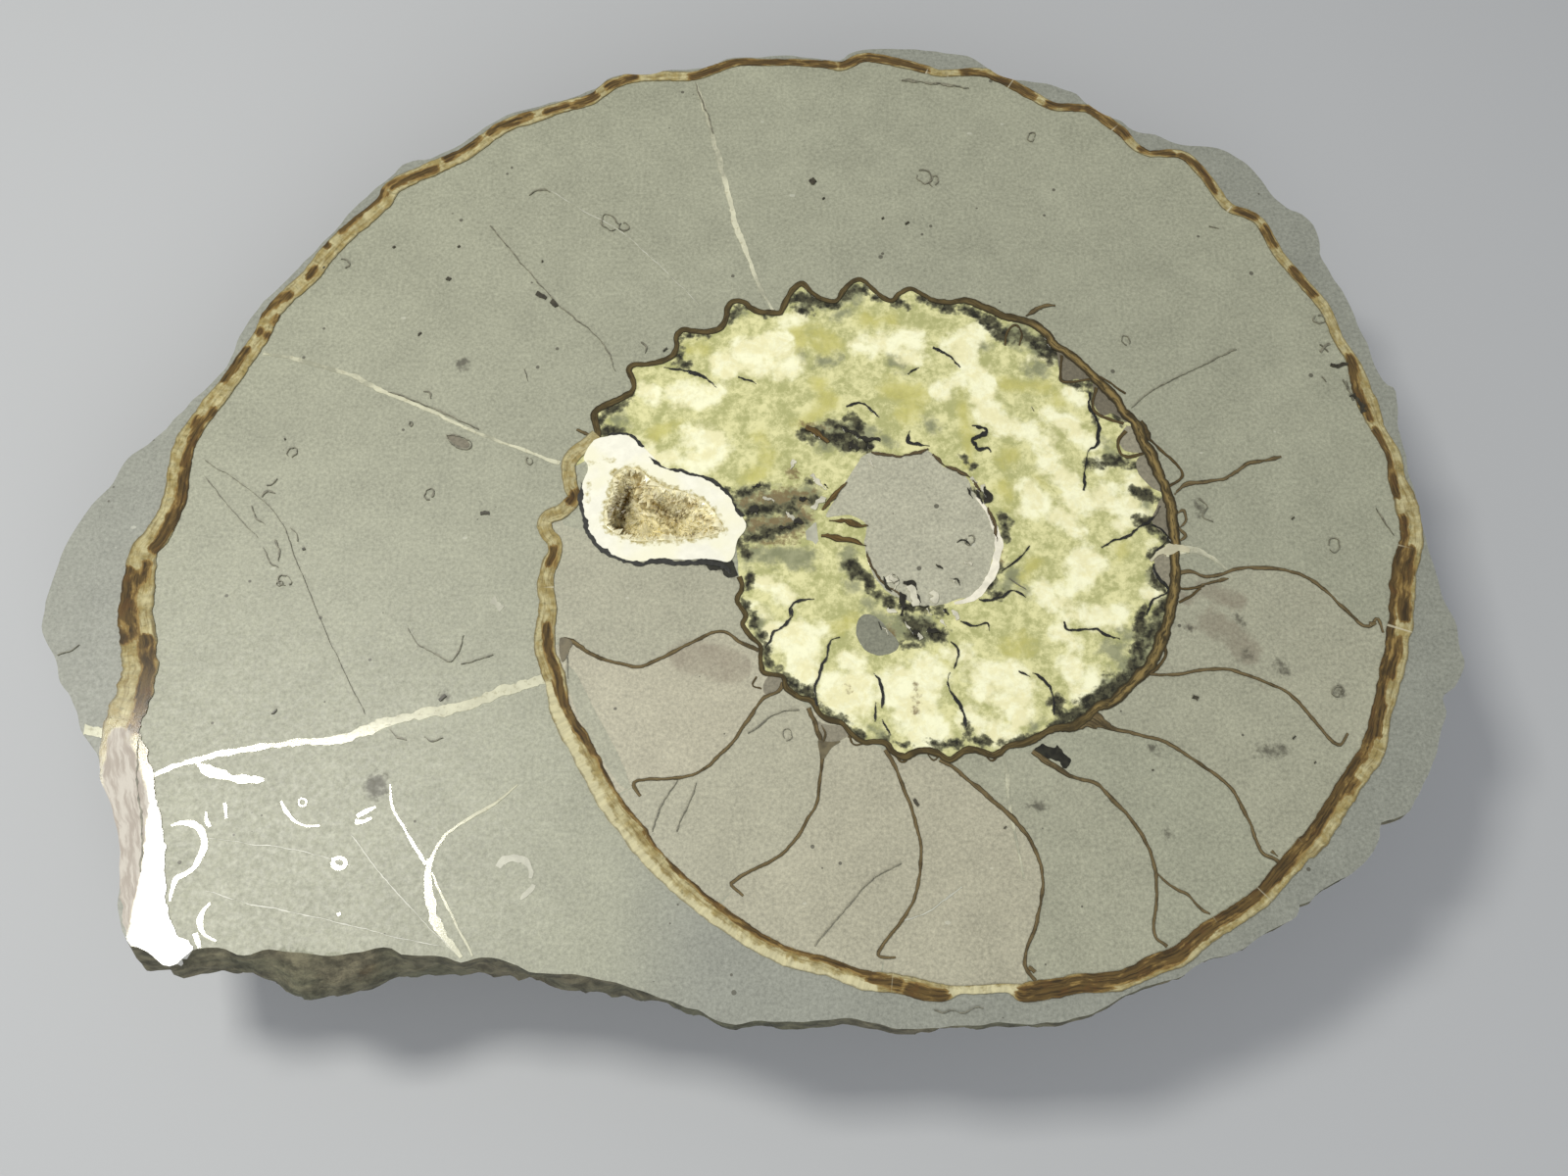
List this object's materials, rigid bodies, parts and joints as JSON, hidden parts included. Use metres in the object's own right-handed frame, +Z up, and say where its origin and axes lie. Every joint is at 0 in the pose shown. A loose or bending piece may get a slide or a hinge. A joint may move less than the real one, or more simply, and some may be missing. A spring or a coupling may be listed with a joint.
{
  "type": "fossil ammonite",
  "caption": "Sawn and polished half of a coiled fossil ammonite in grey limestone, with calcite-filled inner whorls and a crystal-lined hollow, lying on its rough domed back.",
  "frame": {"origin": "middle of the stone's length and width, on the plane that it rests on", "axes": "+Z up, out of the polished face; +X to the right along the length, away from the broken end of the body chamber; +Y to the top edge of the coil as it is shown"},
  "size_m": [0.229, 0.179, 0.038],
  "materials": {
    "limestone": "satin",
    "shell_calcite": "polished",
    "white_calcite": "polished",
    "tan_calcite": "gloss"
  },
  "bodies": {
    "root": {"ammonite_stone": "limestone", "vug_crystals": "tan_calcite"}
  },
  "joints": []
}
